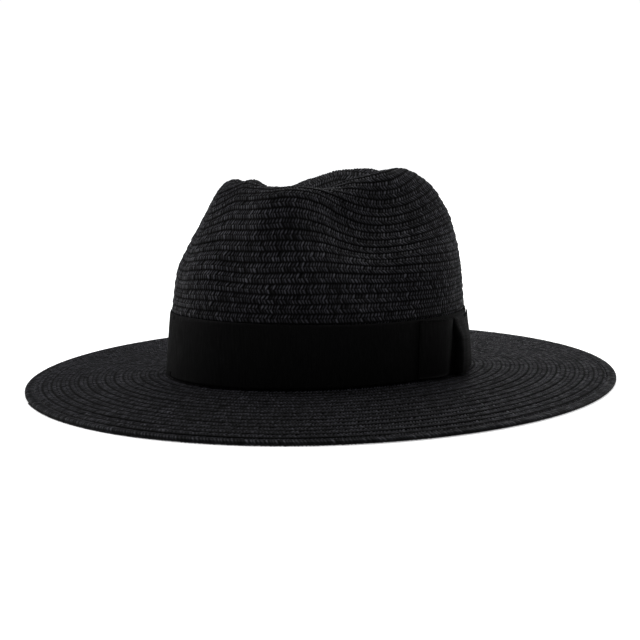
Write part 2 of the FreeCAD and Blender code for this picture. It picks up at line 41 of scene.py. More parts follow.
# ---------------------------------------------------------------- shape of the hat, in millimetres
A, OV, RISE, TH = 82.0, 19.5, 5.4, 1.8
W, CUT, EDGE, ET = 91.6, 3.4, 6.0, 2.6
LEAN_SIDE, LEAN_BACK = math.radians(1.65), math.radians(0.67)
NB = 16.0                      # rows of braid across the brim
ROWS = np.array([0, 2, 4, 6, 8, 10, 12, 14, 16, 18, 20, 22, 24, 26, 28, 30, 31.5])
CROWN_R = np.array([
    [82.0, 82.0, 82.0, 82.0, 82.0, 82.0, 82.0, 82.0, 82.0, 82.0, 82.0, 82.0, 82.0, 82.0, 82.0, 82.0],
    [80.9, 80.9, 80.9, 81.0, 81.1, 81.4, 81.7, 82.1, 82.4, 82.4, 82.3, 81.9, 81.3, 80.7, 80.3, 80.1],
    [79.8, 79.8, 79.8, 79.9, 80.2, 80.7, 81.4, 82.2, 82.7, 82.9, 82.5, 81.7, 80.6, 79.4, 78.6, 78.3],
    [78.8, 78.7, 78.7, 78.9, 79.3, 80.1, 81.1, 82.2, 83.1, 83.3, 82.8, 81.6, 79.9, 78.1, 76.9, 76.4],
    [77.0, 77.2, 77.7, 78.4, 79.0, 79.6, 80.5, 81.6, 82.8, 83.6, 83.4, 82.0, 79.6, 76.8, 74.7, 73.9],
    [74.3, 75.2, 75.9, 76.2, 78.7, 80.6, 78.1, 75.8, 79.1, 83.9, 85.0, 82.6, 78.7, 74.4, 71.4, 70.5],
    [72.0, 72.9, 72.3, 71.4, 74.0, 76.6, 73.6, 70.5, 74.5, 81.6, 84.2, 82.0, 77.9, 73.1, 69.8, 68.8],
    [67.9, 67.6, 66.6, 67.1, 70.3, 71.7, 67.3, 63.6, 67.7, 76.0, 80.7, 79.8, 76.4, 72.3, 68.7, 67.2],
    [62.8, 61.6, 60.3, 63.0, 67.7, 67.4, 60.7, 55.9, 59.8, 68.7, 74.6, 75.7, 73.8, 70.7, 67.0, 65.3],
    [57.5, 55.9, 54.3, 58.2, 64.5, 63.8, 55.5, 49.6, 52.6, 60.8, 67.3, 70.0, 70.0, 67.6, 63.9, 62.2],
    [53.2, 50.8, 48.8, 52.6, 58.7, 58.5, 52.0, 46.5, 47.4, 53.5, 59.9, 63.5, 64.2, 62.3, 58.7, 56.7],
    [49.0, 45.8, 43.0, 46.6, 50.8, 49.4, 45.9, 43.7, 43.7, 47.3, 52.6, 56.0, 56.6, 54.8, 51.0, 48.7],
    [42.3, 38.7, 35.7, 39.0, 42.3, 39.7, 35.9, 35.2, 37.6, 42.0, 46.1, 46.9, 45.7, 44.4, 40.8, 38.6],
    [33.6, 30.0, 26.9, 30.2, 33.3, 30.4, 26.0, 24.6, 27.2, 32.3, 35.7, 35.2, 33.6, 32.5, 29.5, 27.3],
    [21.1, 19.5, 17.9, 19.5, 20.8, 19.3, 17.0, 16.0, 16.8, 18.9, 20.6, 20.5, 19.9, 19.6, 18.4, 17.4],
    [8.2, 8.2, 8.2, 8.2, 8.2, 8.2, 8.2, 8.2, 8.2, 8.2, 8.2, 8.2, 8.2, 8.2, 8.2, 8.2],
    [0.0, 0.0, 0.0, 0.0, 0.0, 0.0, 0.0, 0.0, 0.0, 0.0, 0.0, 0.0, 0.0, 0.0, 0.0, 0.0],
])
CROWN_Z = np.array([
    [0.0, 0.0, 0.0, 0.0, 0.0, 0.0, 0.0, 0.0, 0.0, 0.0, 0.0, 0.0, 0.0, 0.0, 0.0, 0.0],
    [11.5, 11.5, 11.4, 11.3, 11.2, 11.1, 11.0, 11.0, 10.9, 11.0, 11.0, 11.0, 11.1, 11.1, 11.2, 11.2],
    [23.0, 23.0, 22.8, 22.7, 22.4, 22.2, 22.1, 21.9, 21.9, 21.9, 22.0, 22.1, 22.2, 22.3, 22.3, 22.4],
    [34.5, 34.5, 34.3, 34.0, 33.7, 33.4, 33.1, 32.9, 32.8, 32.9, 33.0, 33.1, 33.3, 33.4, 33.5, 33.5],
    [45.9, 45.9, 45.7, 45.4, 45.0, 44.5, 44.1, 43.8, 43.7, 43.8, 44.0, 44.2, 44.4, 44.6, 44.6, 44.6],
    [56.1, 57.0, 57.9, 57.3, 56.4, 56.1, 55.5, 54.6, 54.3, 54.5, 54.8, 55.5, 55.9, 55.8, 55.4, 55.3],
    [67.3, 68.7, 69.7, 68.5, 68.0, 68.4, 67.8, 66.2, 65.2, 65.4, 65.2, 65.5, 66.3, 66.3, 65.9, 65.7],
    [78.0, 79.7, 81.2, 80.6, 80.5, 80.8, 79.6, 76.0, 73.6, 74.6, 75.4, 75.7, 76.7, 76.9, 76.6, 76.4],
    [88.1, 90.3, 92.9, 93.0, 93.2, 93.5, 90.5, 84.3, 80.7, 81.7, 84.5, 86.3, 87.6, 87.6, 87.3, 87.1],
    [97.5, 100.4, 104.6, 105.0, 105.6, 106.3, 101.9, 94.5, 89.4, 89.0, 92.2, 96.2, 98.5, 98.5, 97.9, 97.7],
    [106.4, 109.6, 114.3, 114.5, 115.1, 116.3, 113.1, 105.8, 99.7, 97.9, 100.6, 105.4, 108.8, 109.1, 108.2, 107.8],
    [114.1, 117.1, 120.6, 119.5, 117.8, 118.4, 117.3, 114.6, 110.7, 108.0, 109.7, 114.5, 118.6, 118.8, 117.0, 116.1],
    [118.3, 120.8, 122.9, 120.2, 116.4, 115.4, 116.4, 117.3, 119.4, 119.0, 120.2, 124.0, 126.7, 125.0, 122.3, 121.1],
    [117.3, 118.9, 119.5, 116.7, 113.0, 111.9, 114.2, 117.5, 121.2, 124.5, 127.4, 128.1, 127.8, 125.2, 122.6, 121.6],
    [112.4, 112.8, 112.7, 111.2, 109.1, 108.6, 110.0, 112.4, 114.6, 116.7, 118.4, 118.5, 117.8, 116.6, 115.4, 115.0],
    [106.5, 106.5, 106.5, 106.5, 106.5, 106.5, 106.5, 106.5, 106.5, 106.5, 106.5, 106.5, 106.5, 106.5, 106.5, 106.5],
    [105.0, 105.0, 105.0, 105.0, 105.0, 105.0, 105.0, 105.0, 105.0, 105.0, 105.0, 105.0, 105.0, 105.0, 105.0, 105.0],
])


def natural(x, y, q):
    # natural cubic spline through the columns of y, read at q
    n = len(x)
    h = np.diff(x)
    m = np.zeros((n, n))
    b = np.zeros_like(y, dtype=float)
    m[0, 0] = m[-1, -1] = 1.0
    for i in range(1, n - 1):
        m[i, i - 1], m[i, i], m[i, i + 1] = h[i - 1], 2 * (h[i - 1] + h[i]), h[i]
        b[i] = 6 * ((y[i + 1] - y[i]) / h[i] - (y[i] - y[i - 1]) / h[i - 1])
    s = np.linalg.solve(m, b)
    k = np.clip(np.searchsorted(x, q, side="right") - 1, 0, n - 2)
    d = h[k][:, None]
    w = ((q - x[k]) / h[k])[:, None]
    v = 1 - w
    return v * y[k] + w * y[k + 1] + ((v ** 3 - v) * s[k] + (w ** 3 - w) * s[k + 1]) * d * d / 6.0


def rot_y(a):
    return np.array([[math.cos(a), 0, math.sin(a)], [0, 1, 0], [-math.sin(a), 0, math.cos(a)]])


def rot_x(a):
    return np.array([[1, 0, 0], [0, math.cos(a), -math.sin(a)], [0, math.sin(a), math.cos(a)]])


TILT = rot_y(-LEAN_SIDE) @ rot_x(-LEAN_BACK)
OFFSET = np.array([0.0, -CUT, 0.0])

# a fine grid of the whole outer skin: u counts rows of braid, from the brim edge at -NB
# over the foot of the crown at 0 to the tip, and t is degrees round from the face
U_LO, U_HI, DU, DT = -NB - 0.5, 31.45, 0.05, 0.5
UG = np.arange(U_LO, U_HI + 1e-9, DU)
TG = np.arange(0.0, 360.0, DT)


def skin_grid():
    uc = UG[UG >= 0]
    rc = natural(ROWS, CROWN_R, uc)
    zc = natural(ROWS, CROWN_Z, uc)
    full = list(range(16)) + list(range(14, 0, -1))
    rc, zc = rc[:, full], zc[:, full]
    f = TG / 12.0
    k = np.floor(f).astype(int)
    w = f - k
    def cat(p):
        a, b, c, d = p[:, (k - 1) % 30], p[:, k % 30], p[:, (k + 1) % 30], p[:, (k + 2) % 30]
        return 0.5 * (2 * b + (c - a) * w + (2 * a - 5 * b + 4 * c - d) * w ** 2 + (3 * b - a - 3 * c + d) * w ** 3)
    r, z = cat(rc), cat(zc)
    t = np.radians(TG)
    p = np.stack([r * np.sin(t), -(r + OV) * np.cos(t), z], -1)
    crown = p @ TILT.T + np.array([0, 0, RISE])
    ub = UG[UG < 0]
    reach = W - CUT * np.cos(t)
    s = (-ub / NB)[:, None]
    r = A + s * reach[None]
    foot = np.stack([A * np.sin(t), -(A + OV) * np.cos(t)], -1)
    n = TILT @ np.array([0, 0, 1.0])
    zb = RISE - (n[0] * foot[:, 0] + n[1] * foot[:, 1]) / n[2]
    g = np.where(s < 1, s * s * (1.9 - 0.9 * s), 1.0)
    z = zb[None] * (1 - g) + ET * g
    brim = np.stack([r * np.sin(t), -(r + OV) * np.cos(t), z + 0 * r], -1)
    return np.concatenate([brim, crown], 0) + OFFSET


PG = skin_grid()
# ease the corner where the crown meets the brim
i0 = int(round((0 - U_LO) / DU))
for _ in range(14):
    a, b = i0 - 12, i0 + 12
    PG[a:b] = 0.25 * PG[a - 1:b - 1] + 0.5 * PG[a:b] + 0.25 * PG[a + 1:b + 1]
GU = np.gradient(PG, DU, axis=0)
GT = (np.roll(PG, -1, 1) - np.roll(PG, 1, 1)) / (2 * DT)
NG = np.cross(GT, GU)
NG /= np.maximum(np.linalg.norm(NG, axis=-1, keepdims=True), 1e-9)
for _ in range(3):
    NG[1:-1] = 0.25 * NG[:-2] + 0.5 * NG[1:-1] + 0.25 * NG[2:]
NG /= np.maximum(np.linalg.norm(NG, axis=-1, keepdims=True), 1e-9)


def look(grid, u, t):
    fu = np.clip((u - U_LO) / DU, 0, len(UG) - 1.001)
    ft = (t % 360.0) / DT
    iu, it = np.floor(fu).astype(int), np.floor(ft).astype(int)
    wu, wt = (fu - iu)[..., None], (ft - it)[..., None]
    n = len(TG)
    it, it1 = it % n, (it + 1) % n
    return ((1 - wu) * ((1 - wt) * grid[iu, it] + wt * grid[iu, it1])
            + wu * ((1 - wt) * grid[iu + 1, it] + wt * grid[iu + 1, it1]))


def skin(u, t, out=0.0):
    n = look(NG, u, t)
    n = n / np.maximum(np.linalg.norm(n, axis=-1, keepdims=True), 1e-9)
    out = np.asarray(out, float)
    return look(PG, u, t) + n * (out[..., None] if out.ndim else out)


# ---------------------------------------------------------------- meshes
def build(name, verts_mm, quads, uvs=None, plait=None, cols=None, smooth=True):
    me = bpy.data.meshes.new(name)
    v = (np.asarray(verts_mm, float) * 0.001).astype(np.float32)
    q = np.asarray(quads, np.int32)
    me.vertices.add(len(v))
    me.vertices.foreach_set("co", v.ravel())
    me.loops.add(q.size)
    me.loops.foreach_set("vertex_index", q.ravel())
    me.polygons.add(len(q))
    me.polygons.foreach_set("loop_start", np.arange(0, q.size, q.shape[1], dtype=np.int32))
    me.polygons.foreach_set("use_smooth", np.full(len(q), smooth, bool))
    me.update(calc_edges=True)
    for nm, data in (("OFBake", uvs), ("plait", plait)):
        if data is not None:
            layer = me.uv_layers.new(name=nm)
            layer.data.foreach_set("uv", np.asarray(data, np.float32).ravel())
    for nm, data in (cols or {}).items():
        at = me.attributes.new(nm, "FLOAT", "POINT")
        at.data.foreach_set("value", np.asarray(data, np.float32).ravel())
    me.validate()
    ob = bpy.data.objects.new(name, me)
    bpy.context.scene.collection.objects.link(ob)
    return ob


def grid_quads(n, m, wrap_n=False, wrap_m=False, flip=False):
    i = np.arange(n if wrap_n else n - 1)
    j = np.arange(m if wrap_m else m - 1)
    I, J = np.meshgrid(i, j, indexing="ij")
    a = I * m + J
    b = ((I + 1) % n) * m + J
    c = ((I + 1) % n) * m + (J + 1) % m
    d = I * m + (J + 1) % m
    q = np.stack([a, b, c, d], -1).reshape(-1, 4)
    return q[:, ::-1] if flip else q


def corner_uv(n, m, U, V, wrap_n=False, wrap_m=False, flip=False):
    # U has n(+1) values along, V has m(+1) values across
    i = np.arange(n if wrap_n else n - 1)
    j = np.arange(m if wrap_m else m - 1)
    I, J = np.meshgrid(i, j, indexing="ij")
    uv = np.stack([np.stack([U[I], V[J]], -1), np.stack([U[I + 1], V[J]], -1),
                   np.stack([U[I + 1], V[J + 1]], -1), np.stack([U[I], V[J + 1]], -1)], -2).reshape(-1, 4, 2)
    return uv[:, ::-1] if flip else uv


# ---------------------------------------------------------------- the plait
STRAND = 1.9        # distance along the braid from one strand to the next
STRANDS = 4096
tone_a, tone_b = rng.random(STRANDS), rng.random(STRANDS)
wide_a, wide_b = rng.normal(0, 1, STRANDS), rng.normal(0, 1, STRANDS)


def plait_height(s, y, p):
    # s along the braid and y across it from its lower edge, both in mm, p its width.
    # Strands run up from both edges to the middle, each one over the last, like a flat plait.
    c = y / p
    side = c < 0.5
    x = np.where(side, c, 1 - c) * 2.0                       # 0 at an edge, 1 in the middle
    drift = 0.22 * np.sin(s * 0.23 + 1.7 * np.sin(s * 0.017)) + 0.16 * np.sin(s * 0.71 + np.where(side, 0.0, 2.1))
    ph = s / STRAND + np.where(side, 0.0, 0.5) + x * (0.78 + 0.14 * np.sin(s * 0.13 + np.where(side, 0.4, 3.0))) + drift
    k = np.floor(ph).astype(int)
    f = ph - k
    kk = k % STRANDS
    wob = np.where(side, wide_a[kk], wide_b[kk])
    tone = np.where(side, tone_a[kk], tone_b[kk])
    f = np.clip(f + 0.055 * wob, 0, 1)
    body = np.clip(1 - np.abs(2 * f - 1) ** 2.2, 0, 1)       # rounded strand, lapped on its neighbour
    rise = np.sqrt(np.clip(x * (2 - x), 0, 1))               # thin at the folded edges
    mid = np.exp(-((c - 0.5) / 0.055) ** 2)                  # the strands cross in the middle
    hgt = (body * (0.80 + 0.09 * wob) + 0.16 * (f - 0.5)) * (0.55 + 0.45 * rise) - 0.22 * mid
    return hgt, tone, f


def along_spiral(th0, th1, u_of, step):
    # even steps along a braid that winds once round for each row
    th = np.linspace(th0, th1, max(16, int((th1 - th0) / 1.0)))
    p = skin(u_of(th), th)
    s = np.r_[0, np.cumsum(np.linalg.norm(np.diff(p, axis=0), axis=1))]
    n = max(8, int(s[-1] / step))
    q = np.linspace(0, s[-1], n)
    return np.interp(q, s, th), q


def spiral_u(th):
    return th / 360.0


TOTAL = {}


def braid(name, u0, u1, step=0.42, across=13, side=1.0, depth=1.0, base=0.0, s_start=0.0, lap=0.10,
          relief=0.95, taper=False):
    # the rows of the spiral from u0 to u1, seen from outside (side 1) or inside (side -1)
    th, s = along_spiral(u0 * 360.0, u1 * 360.0, lambda a: spiral_u(a) + 0.5, step)
    s = s + s_start
    v = np.linspace(0.0, 1.0, across)                       # lower edge to upper edge
    v = 0.5 - 0.5 * np.cos(np.pi * v) * (0.75 + 0.25 * np.abs(np.cos(np.pi * v)))
    v[0], v[-1] = 0.0, 1.0
    T, Vv = np.meshgrid(th, v, indexing="ij")
    S = np.repeat(s[:, None], across, 1)
    width = 1.0 + 2 * lap
    u = T / 360.0 - lap + Vv * width
    hgt, tone, f = plait_height(S, Vv * 5.6, 5.6)
    # the lower edge lies on top of the next row, the upper edge is tucked under the last one
    lift = 0.34 * (1 - Vv) ** 1.3 - 0.34 * Vv ** 1.6
    edge = -0.62 * np.exp(-Vv / 0.060) - 0.45 * np.exp(-(1 - Vv) / 0.07)
    wave = 0.05 * np.sin(S / 1.9 * 2 * np.pi) * (np.exp(-Vv / 0.10))
    slow = 0.10 * np.sin(S * 0.021 + 1.3) + 0.08 * np.sin(S * 0.057 + 0.4)
    out = base + side * (depth * (lift + edge) + relief * (hgt - 0.62) + wave) + slow
    jig = 0.012 * np.sin(S * 0.11) + 0.010 * np.sin(S * 0.043 + 2.0)
    uu = np.clip(u + jig, U_LO, 31.4)
    if taper:
        out = out - side * 0.25
    pts = skin(uu, T, out)
    n, m = T.shape
    q = grid_quads(n, m, flip=(side < 0))
    turns = int(math.ceil(u1 - u0 - 1e-6)) or 1
    turn = np.clip(np.floor((th - th[0]) / 360.0), 0, turns - 1)
    i = np.arange(n - 1)
    fa = (th[i] - th[0]) / 360.0 - turn[i]
    fb = (th[i + 1] - th[0]) / 360.0 - turn[i]
    lo = (turn[i] + 0.04) / turns
    sc = 0.92 / turns
    j = np.arange(m - 1)
    FA, VA = np.meshgrid(fa, v[j], indexing="ij")
    FB, VB = np.meshgrid(fb, v[j + 1], indexing="ij")
    LO = np.repeat(lo[:, None], m - 1, 1)
    ku = 0.985
    uv = np.stack([np.stack([FA * ku + .004, LO + VA * sc], -1), np.stack([FB * ku + .004, LO + VA * sc], -1),
                   np.stack([FB * ku + .004, LO + VB * sc], -1), np.stack([FA * ku + .004, LO + VB * sc], -1)],
                  -2).reshape(-1, 4, 2)
    pl = corner_uv(n, m, s * 0.01, v * 0.056)
    if side < 0:
        uv, pl = uv[:, ::-1], pl[:, ::-1]
    # painted shade and highlight: this mask is black in the gaps between strands and in the grooves along both row
    # edges, and highest on the strand crests; stored as the "height" attribute, it darkens the straw colour there and
    # brightens it on the crests
    gap_shade_crest_glint = np.clip((hgt - 0.12) / 0.62, 0, 1) * np.clip(Vv / 0.12, 0.0, 1) * np.clip((1 - Vv) / 0.24, 0.0, 1)
    ob = build(name, pts.reshape(-1, 3), q, uv, pl,
               {"tone": tone.ravel(), "height": gap_shade_crest_glint.ravel(), "row": ((T / 360.0) % 7).ravel()})
    TOTAL[name] = len(q) * 2
    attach(ob, "root")
    return ob, s[-1]


def smooth01(x):
    x = np.clip(x, 0, 1)
    return x * x * (3 - 2 * x)


# the rows sink a little where the edge row, the band or the sweatband lies over them
_skin = skin


def skin(u, t, out=0.0):
    out = np.asarray(out, float)
    if out.ndim:
        u = np.asarray(u, float) + 0 * out
        out = out - 1.9 * smooth01((-NB + 1.14 - u) / 0.22) * (out > -1.2)
        band = smooth01((7.22 - u) / 0.45) * smooth01((u - 0.1) / 0.2)
        out = np.where((band > 0) & (out > -1.2), out - 1.05 * band, out)
    return _skin(u, t, out)


# ---------------------------------------------------------------- braid: one long spiral, cut into lengths
straw, ribbons, tapes = [], [], []
s_now = 0.0
OUTER = [(-16.0, -13.6), (-13.6, -11.0), (-11.0, -8.2), (-8.2, -4.8), (-4.8, 0.4)]
for i, (a, b) in enumerate(OUTER):
    ob, length = braid("brim_rows_%d" % (i + 1), a, b, s_start=s_now)
    s_now += length
    straw.append(ob)
    if i == 0:
        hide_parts("brim_braid")
for i, (a, b) in enumerate([(5.6, 11.2), (11.2, 17.2), (17.2, 23.6), (23.6, 30.75)]):
    ob, length = braid("crown_rows_%d" % (i + 1), a, b, s_start=s_now)
    s_now += length
    straw.append(ob)
    if i == 0:
        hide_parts("crown_side_rows")
    if i == 2:
        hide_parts("crown_top_rows")
under = dict(side=-1.0, across=8, depth=0.55, relief=0.40)
for i, (a, b) in enumerate([(-15.3, -8.0), (-8.0, 0.0)]):
    ob, length = braid("brim_underside_%d" % (i + 1), a, b, step=1.0, base=-TH + 0.55, s_start=s_now, **under)
    s_now += length
    straw.append(ob)
for i, (a, b) in enumerate([(0.0, 13.0), (13.0, 30.75)]):
    ob, length = braid("crown_inside_%d" % (i + 1), a, b, step=0.9, base=-TH + 0.35, s_start=s_now, **under)
    s_now += length
    straw.append(ob)


def edge_row():
    # the last row, folded over the wire: plaited on both faces
    tt = np.linspace(0, 360, 721)[:-1]
    def mid(t, w):
        r = A + W - CUT * np.cos(np.radians(t)) + w
        return np.stack([r * np.sin(np.radians(t)), -(r + OV) * np.cos(np.radians(t))], -1)
    loop = mid(np.linspace(0, 360, 1441), -1.0)
    s = np.r_[0, np.cumsum(np.linalg.norm(np.diff(loop, axis=0), axis=1))]
    length = s[-1]
    n = int(length / 0.42)
    n_st = round(length / STRAND)
    q = np.arange(n) / n * length
    t = np.interp(q, s, np.linspace(0, 360, 1441))
    sp = q * (n_st * STRAND / length)
    m = 26
    psi = np.arange(m) / m * 2 * np.pi
    T, P = np.meshgrid(t, psi, indexing="ij")
    S = np.repeat(sp[:, None], m, 1)
    y = np.where(P < np.pi, P / np.pi, (2 * np.pi - P) / np.pi) * 5.6
    hgt, tone, f = plait_height(S + np.where(P < np.pi, 0, 0.9), y, 5.6)
    e = 2.0 / 3.2
    cx = np.sign(np.cos(P)) * np.abs(np.cos(P)) ** e
    cz = np.sign(np.sin(P)) * np.abs(np.sin(P)) ** e
    amp = 0.36 * (hgt - 0.42)
    wavy = 0.16 * np.sin(S * 0.031) + 0.12 * np.sin(S * 0.083 + 1.0)
    r = A + W - CUT * np.cos(np.radians(T)) - 3.0 + (3.0 + amp) * cx
    z = ET / 2 + (ET / 2 - 0.05 + amp) * cz + 0.25 * np.maximum(cz, 0) * np.exp(-((cx - 0.3) / 0.6) ** 2)
    z = np.maximum(z + 0 * wavy, 0.02)
    p = np.stack([r * np.sin(np.radians(T)), -(r + OV) * np.cos(np.radians(T)), z], -1) + OFFSET
    quads = grid_quads(n, m, True, True)
    U = np.r_[q / length, 1.0] * 0.99 + 0.005
    Vv = np.r_[psi / (2 * np.pi), 1.0] * 0.98 + 0.01
    uv = corner_uv(n, m, U, Vv, True, True)
    pl = corner_uv(n, m, np.r_[sp, sp[-1] + 0.42] * 0.01, np.r_[y[0], 0.0] * 0.01, True, True)
    # painted shade and highlight: black in the gaps between strands, highest on the strand crests, stored as the
    # "height" attribute for the straw colour
    gap_shade_crest_glint = np.clip((hgt - 0.12) / 0.62, 0, 1)
    ob = build("brim_edge_braid", p.reshape(-1, 3), quads, uv, pl,
               {"tone": tone.ravel(), "height": gap_shade_crest_glint.ravel(), "row": (S * 0 + 3.0).ravel()})
    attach(ob, "root")
    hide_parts("brim_edge_row")
    return ob


straw.append(edge_row())


def tip_fold():
    # the start of the spiral: a short fold of braid that closes the middle
    n, m = 150, 15
    x = np.linspace(-1, 1, n)
    y = np.linspace(-1, 1, m)
    X, Y = np.meshgrid(x, y, indexing="ij")
    half = 4.6 * np.sqrt(np.clip(1 - (np.abs(X)) ** 4, 0.02, 1))
    hgt, tone, f = plait_height((X + 1) * 21.0, (Y + 1) * 2.8, 5.6)
    z = 105.0 + 0.30 + 0.6 * (hgt - 0.60) - 0.55 * np.abs(Y) ** 3 - 0.3 * np.abs(X) ** 8
    p = np.stack([half * Y, X * 24.0, z], -1) @ TILT.T + np.array([0, 0, RISE]) + OFFSET
    # the "height" attribute here is painted shade and highlight: the strand height, which darkens the straw colour in
    # the gaps and brightens it on the crests
    ob = build("crown_tip_fold", p.reshape(-1, 3), grid_quads(n, m, flip=True),
               corner_uv(n, m, (x + 1) / 2, (y + 1) / 2, flip=True),
               corner_uv(n, m, (x + 1) * 0.21, (y + 1) * 0.028, flip=True),
               {"tone": tone.ravel(), "height": np.clip(hgt, 0.2, 1).ravel(), "row": (X * 0).ravel()})
    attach(ob, "root")
    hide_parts("crown_tip_coil")
    return ob


straw.append(tip_fold())

# ---------------------------------------------------------------- ribbon
PER_ROW = 33.0 / 6.0
FOOT, TOP = 0.8 / PER_ROW, 38.8 / PER_ROW
G0, G1 = 0.35, 0.95
BOW = 128.0
RIB = 0.95
_t = np.linspace(-60, 300, 3601)
_p = _skin(np.full_like(_t, 3.5), _t, np.full_like(_t, G1))
_s = np.r_[0, np.cumsum(np.linalg.norm(np.diff(_p, axis=0), axis=1))]
_s0 = np.interp(BOW, _t, _s)


def t_of(s):
    # degrees round the hat at distance s from the knot; positive s runs towards the face
    return np.interp(_s0 - np.asarray(s, float), _s, _t)


def rib(s):
    # corded ribs of the ribbon, rounder on top than in the valleys
    return np.abs(np.cos(np.pi * s / RIB)) ** 0.8


def cross_profile(m, lip):
    # heights across a ribbon, with a turned lip at both selvedges
    h = np.linspace(0, 1, m)
    hh = np.r_[0.006, 0.0, h[1:-1], 1.0, 0.994]
    inn = np.r_[-lip, -0.12, np.zeros(m - 2), -0.12, -lip]
    inn[2] += -0.02
    return hh, inn


def hat_band():
    tt = np.linspace(0, 360, 7201)
    p = _skin(np.full_like(tt, 3.5), tt, np.full_like(tt, G1))
    s = np.r_[0, np.cumsum(np.linalg.norm(np.diff(p, axis=0), axis=1))]
    length = s[-1]
    n_r = round(length / RIB)
    n = n_r * 4
    q = np.arange(n) / n * length
    t = np.interp(q, s, tt)
    hh, inn = cross_profile(26, 0.55)
    m = len(hh)
    T, Hh = np.meshgrid(t, hh, indexing="ij")
    Q = np.repeat(q[:, None], m, 1)
    sel = 1 - 0.75 * np.exp(-np.minimum(Hh, 1 - Hh) * 38.0 / 0.9)
    cord = 0.20 * rib(Q * (n_r * RIB / length)) * sel
    wav = (0.16 * np.sin(Q * 0.061 + 0.6) + 0.10 * np.sin(Q * 0.157 + 2.1)) * (0.35 + 0.65 * np.abs(2 * Hh - 1) ** 2)
    u = FOOT + Hh * (TOP - FOOT) + 0.02 * np.sin(Q * 0.035) * Hh
    p = _skin(u, T, G1 - 0.10 + cord + inn[None] + 0.5 * wav)
    U = np.r_[q / length, 1.0] * 0.99 + 0.005
    uv = corner_uv(n, m, U, np.linspace(0.01, 0.99, m), True)
    pl = corner_uv(n, m, np.r_[q, length] * 0.01, hh * 0.38, True)
    ob = build("ribbon_band", p.reshape(-1, 3), grid_quads(n, m, True), uv, pl,
               {"rib": rib(Q * (n_r * RIB / length)).ravel(), "sel": sel.ravel()})
    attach(ob, "root")
    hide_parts("hat_band")
    return ob


ribbons.append(hat_band())


def closed_spline(pts, n):
    p = np.array(pts, float)
    k = len(p)
    out = []
    for i in range(k - 1):
        a, b, c, d = p[max(i - 1, 0)], p[i], p[i + 1], p[min(i + 2, k - 1)]
        w = np.linspace(0, 1, 24, endpoint=False)[:, None]
        out.append(0.5 * (2 * b + (c - a) * w + (2 * a - 5 * b + 4 * c - d) * w ** 2 + (3 * b - a - 3 * c + d) * w ** 3))
    out.append(p[-1:])
    out = np.concatenate(out)
    s = np.r_[0, np.cumsum(np.linalg.norm(np.diff(out, axis=0), axis=1))]
    q = np.linspace(0, s[-1], n)
    return np.stack([np.interp(q, s, out[:, j]) for j in range(2)], -1), s[-1]


def bow_loop(name, node, side, path, gather=7.0):
    _, length = closed_spline(path, 50)
    n = int(length / RIB * 4.5)
    c, length = closed_spline(path, n)
    hh, inn = cross_profile(22, 0.35)
    m = len(hh)
    q = np.linspace(0, length, n)
    S = np.repeat(c[:, :1], m, 1)
    N = np.repeat(c[:, 1:], m, 1)
    Hh = np.repeat(hh[None], n, 0)
    Q = np.repeat(q[:, None], m, 1)
    front = Q < length * 0.5
    g = np.exp(-(S / gather) ** 2)
    sel = 1 - 0.75 * np.exp(-np.minimum(Hh, 1 - Hh) * 36.0 / 0.9)
    cord = 0.16 * rib(Q) * sel
    pleat = 0.75 * g * np.cos(2 * np.pi * 1.5 * (Hh - 0.5)) * np.where(front, 1, 0.3)
    belly = 0.55 * np.sin(np.pi * Hh) * (1 - g) * front
    z0, z1 = 1.9 + 1.2 * g, 1.9 + 36.2 - (1.4 + 2.0 * np.exp(-(S / 17.0) ** 2)) * (side < 0) - 1.9 * g - 0.5 * (1 - g) * front * np.sin(np.pi * np.clip(S / 38, 0, 1))
    z = z0 + (z1 - z0) * Hh
    dip = 1.5 * np.exp(-((S - 9.0) / 4.5) ** 2) * np.clip(1 - Hh, 0, 1) ** 1.3 * front * (side > 0)
    if side < 0:
        pleat, belly = pleat * 0.4, belly * 0.5
        N = np.where(front, 1.95 + (N - 1.95) * (1 - 0.85 * smooth01((Hh - 0.40) / 0.50)), N)
    p = _skin(z / PER_ROW, t_of(side * S), N + pleat + belly - dip + cord * np.where(front, 1, -1))
    ob = build(name, p.reshape(-1, 3), grid_quads(n, m, flip=(side > 0)),
               corner_uv(n, m, np.linspace(0.01, 0.99, n), np.linspace(0.01, 0.99, m), flip=(side > 0)),
               corner_uv(n, m, q * 0.01, hh * 0.38, flip=(side > 0)), {"rib": rib(Q).ravel(), "sel": sel.ravel()})
    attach(ob, "root")
    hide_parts(node)
    return ob


FRONT = [(1.5, 4.4), (5.0, 3.6), (8.5, 3.8), (12.0, 4.8), (17.0, 5.1), (24.0, 4.3), (31.0, 3.0), (35.6, 2.15),
         (37.2, 1.75), (36.4, 1.38), (31.0, 1.42), (22.0, 1.72), (10.0, 1.78), (1.5, 2.2)]
REAR = [(1.5, 3.6), (5.0, 3.2), (8.5, 3.2), (12.0, 3.6), (17.0, 3.9), (23.0, 3.6), (29.5, 2.8), (33.6, 2.1),
        (35.2, 1.75), (34.4, 1.38), (30.0, 1.42), (21.0, 1.72), (10.0, 1.78), (1.5, 2.2)]
ribbons.append(bow_loop("bow_loop_front", "bow_front_loop", 1.0, FRONT))
ribbons.append(bow_loop("bow_loop_rear", "bow_rear_loop", -1.0, REAR))


